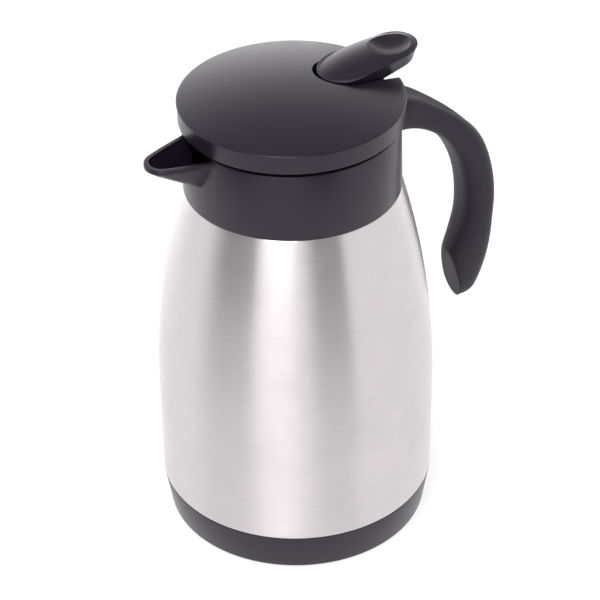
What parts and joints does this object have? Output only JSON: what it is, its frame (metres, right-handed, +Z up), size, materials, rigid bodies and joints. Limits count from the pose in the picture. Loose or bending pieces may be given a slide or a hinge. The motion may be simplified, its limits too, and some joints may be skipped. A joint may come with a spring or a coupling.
{
  "type": "thermal carafe",
  "caption": "Double-walled steel vacuum carafe with a black base, spout, open-ended handle and twist-in stopper lid; a sprung thumb lever on the lid lifts a valve to pour.",
  "frame": {"origin": "centre of the foot ring's underside, on the body's axis", "axes": "+Z up along the body's axis, +X towards the handle, -X towards the spout"},
  "size_m": [0.1785, 0.128, 0.2292],
  "materials": {
    "brushed_steel": "brushed round the body",
    "inner_steel": "satin",
    "black_plastic": "satin, finely grained",
    "inner_plastic": "smooth satin",
    "seal_rubber": "matte",
    "fastener_steel": "bright",
    "solder": "dull"
  },
  "bodies": {
    "vessel": {"outer_shell": "brushed_steel", "shell_bottom": "inner_steel", "vacuum_seal": "solder", "getter_disc": "inner_steel", "inner_vessel": "inner_steel", "base_cup": "black_plastic", "foot_ring": "seal_rubber", "collar": "black_plastic", "rim_gasket": "seal_rubber", "handle": "black_plastic", "handle_screws": "fastener_steel"},
    "lid_seal": {"stopper_gasket": "seal_rubber"},
    "lid": {"lid_cover": "black_plastic", "stopper": "inner_plastic", "lever_cradle": "inner_plastic", "cradle_screws": "fastener_steel", "lever_pin": "fastener_steel", "stem_seal": "seal_rubber", "valve_spring": "fastener_steel"},
    "lever": {"thumb_lever": "black_plastic"},
    "valve": {"valve_stem": "inner_plastic", "stem_cap": "inner_plastic", "valve_disc": "inner_plastic", "valve_seal": "seal_rubber", "valve_screw": "fastener_steel"}
  },
  "joints": [
    {"name": "lid_lift", "type": "slide", "parent": "vessel", "child": "lid_seal", "axis": [0, 0, 1], "range_m": [0, 0.045]},
    {"name": "lid_turn", "type": "hinge", "parent": "lid_seal", "child": "lid", "pos_m": [0, 0, 0.19], "axis": [0, 0, 1], "range_deg": [0, 90]},
    {"name": "lever_press", "type": "hinge", "parent": "lid", "child": "lever", "pos_m": [0.027, 0, 0.2114], "axis": [0, 1, 0], "range_deg": [0, 7], "stiffness_Nm_per_rad": 0.12, "springref_deg": -28.65},
    {"name": "valve_lift", "type": "slide", "parent": "lid", "child": "valve", "axis": [0, 0, 1], "range_m": [0, 0.004], "deforming": ["valve_spring"]}
  ],
  "couplings": [
    {"joint": "valve_lift", "follows": "lever_press", "m_per_rad": 0.032}
  ]
}
